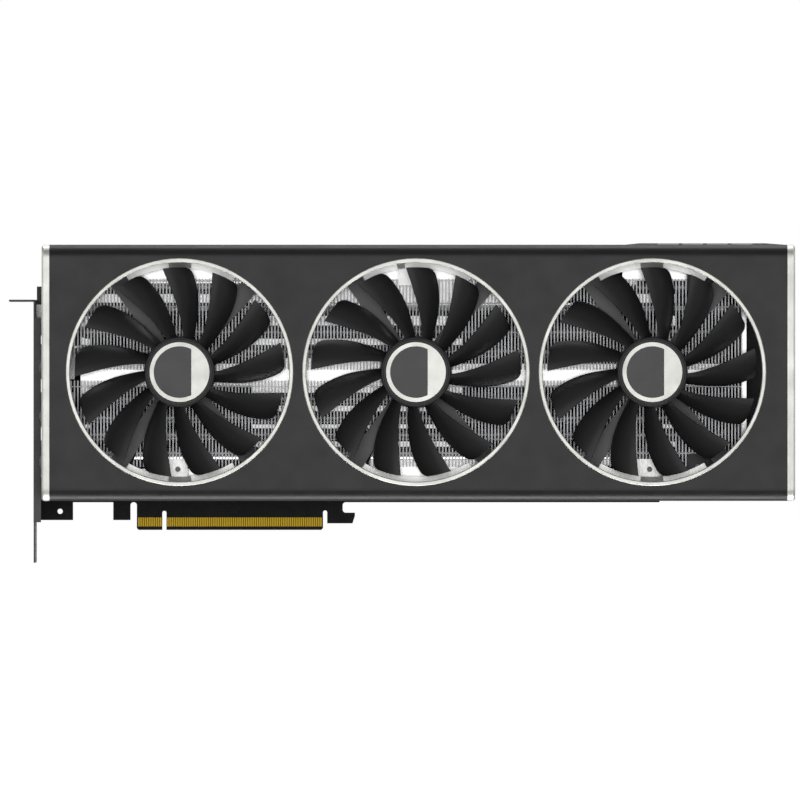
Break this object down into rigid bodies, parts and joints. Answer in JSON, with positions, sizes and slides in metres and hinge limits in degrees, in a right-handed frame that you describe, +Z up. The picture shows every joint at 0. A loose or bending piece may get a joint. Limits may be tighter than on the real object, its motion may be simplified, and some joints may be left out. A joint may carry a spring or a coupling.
{
  "type": "graphics card",
  "caption": "Long graphics card with axial fans in a dark shroud with bright end trims and rings, finned heat-pipe cooler, slot bracket, backplate and edge connector.",
  "frame": {"origin": "centre of the edge connector's key notch, on the board's mid plane, at the contacts' lower edge", "axes": "+X along the card from the slot bracket to the tail, +Y from the fans to the backplate, +Z up, away from the slot"},
  "size_m": [0.3582, 0.0573, 0.1457],
  "materials": {
    "shroud_plastic": "satin moulded",
    "frame_grey": "satin moulded",
    "brace_satin": "satin plated",
    "buffer_rubber": "matt",
    "trim_silver": "satin silver",
    "blade_plastic": "satin moulded",
    "disc_grey": "matt",
    "magnet_ferrite": "matt",
    "polished_steel": "bright",
    "board_black": "solder mask",
    "contact_gold": "bright",
    "package_green": "satin",
    "die_silicon": "mirror-like",
    "chip_black": "matt",
    "choke_grey": "matt",
    "capacitor_can": "bright",
    "pad_grey": "matt",
    "socket_black": "moulded",
    "switch_white": "moulded",
    "nickel_plate": "plated",
    "fin_aluminium": "plain sheet",
    "screw_steel": "blackened",
    "spring_steel": "satin",
    "sleeve_brass": "turned",
    "winding_copper": "enamelled wire",
    "backplate_black": "black anodised",
    "bracket_black": "black powder coat",
    "light_frosted": "frosted",
    "lead_black": "matt"
  },
  "bodies": {
    "card": {"pcb": "board_black", "edge_contacts": "contact_gold", "gpu_package": "package_green", "gpu_die": "die_silicon", "memory_chips": "chip_black", "thermal_pads": "pad_grey", "power_chokes": "choke_grey", "power_stages": "chip_black", "capacitors": "capacitor_can", "power_sockets": "socket_black", "power_pins": "contact_gold", "video_ports": "polished_steel", "wide_video_port": "polished_steel", "port_tongues": "socket_black", "fan_header": "switch_white", "bios_switch_housing": "socket_black", "cold_plate": "nickel_plate", "heatsink_frame": "nickel_plate", "heat_pipes": "nickel_plate", "fin_stack_upper": "fin_aluminium", "fin_stack_lower": "fin_aluminium", "retention_plate": "spring_steel", "retention_screws": "screw_steel", "retention_springs": "polished_steel", "fan_frames": "frame_grey", "fan_screws": "screw_steel", "bearing_sleeves": "sleeve_brass", "stators": "winding_copper", "fan_shroud": "shroud_plastic", "fan_rings": "trim_silver", "fan_braces": "brace_satin", "brace_pads": "buffer_rubber", "brace_screws": "screw_steel", "tail_braces": "shroud_plastic", "trim_left": "trim_silver", "trim_right": "trim_silver", "top_rail": "shroud_plastic", "light_bars": "light_frosted", "backplate": "backplate_black", "board_screws": "screw_steel", "tail_screws": "screw_steel", "io_bracket": "bracket_black", "fan_leads": "lead_black", "fan_plug": "switch_white"},
    "bios_switch": {"bios_switch_slider": "switch_white"},
    "fan_1": {"fan_1_rotor": "blade_plastic", "fan_1_badge": "trim_silver", "fan_1_disc": "disc_grey", "fan_1_magnet": "magnet_ferrite", "fan_1_shaft": "polished_steel"},
    "fan_2": {"fan_2_rotor": "blade_plastic", "fan_2_badge": "trim_silver", "fan_2_disc": "disc_grey", "fan_2_magnet": "magnet_ferrite", "fan_2_shaft": "polished_steel"},
    "fan_3": {"fan_3_rotor": "blade_plastic", "fan_3_badge": "trim_silver", "fan_3_disc": "disc_grey", "fan_3_magnet": "magnet_ferrite", "fan_3_shaft": "polished_steel"}
  },
  "joints": [
    {"name": "fan_1_spin", "type": "hinge", "parent": "card", "child": "fan_1", "pos_m": [0.0075, -0.043, 0.07215], "axis": [0, 1, 0], "continuous": true},
    {"name": "fan_2_spin", "type": "hinge", "parent": "card", "child": "fan_2", "pos_m": [0.1151, -0.043, 0.07215], "axis": [0, 1, 0], "continuous": true},
    {"name": "fan_3_spin", "type": "hinge", "parent": "card", "child": "fan_3", "pos_m": [0.2227, -0.043, 0.07215], "axis": [0, 1, 0], "continuous": true},
    {"name": "bios_switch_slide", "type": "slide", "parent": "card", "child": "bios_switch", "axis": [1, 0, 0], "range_m": [0, 0.002]}
  ]
}
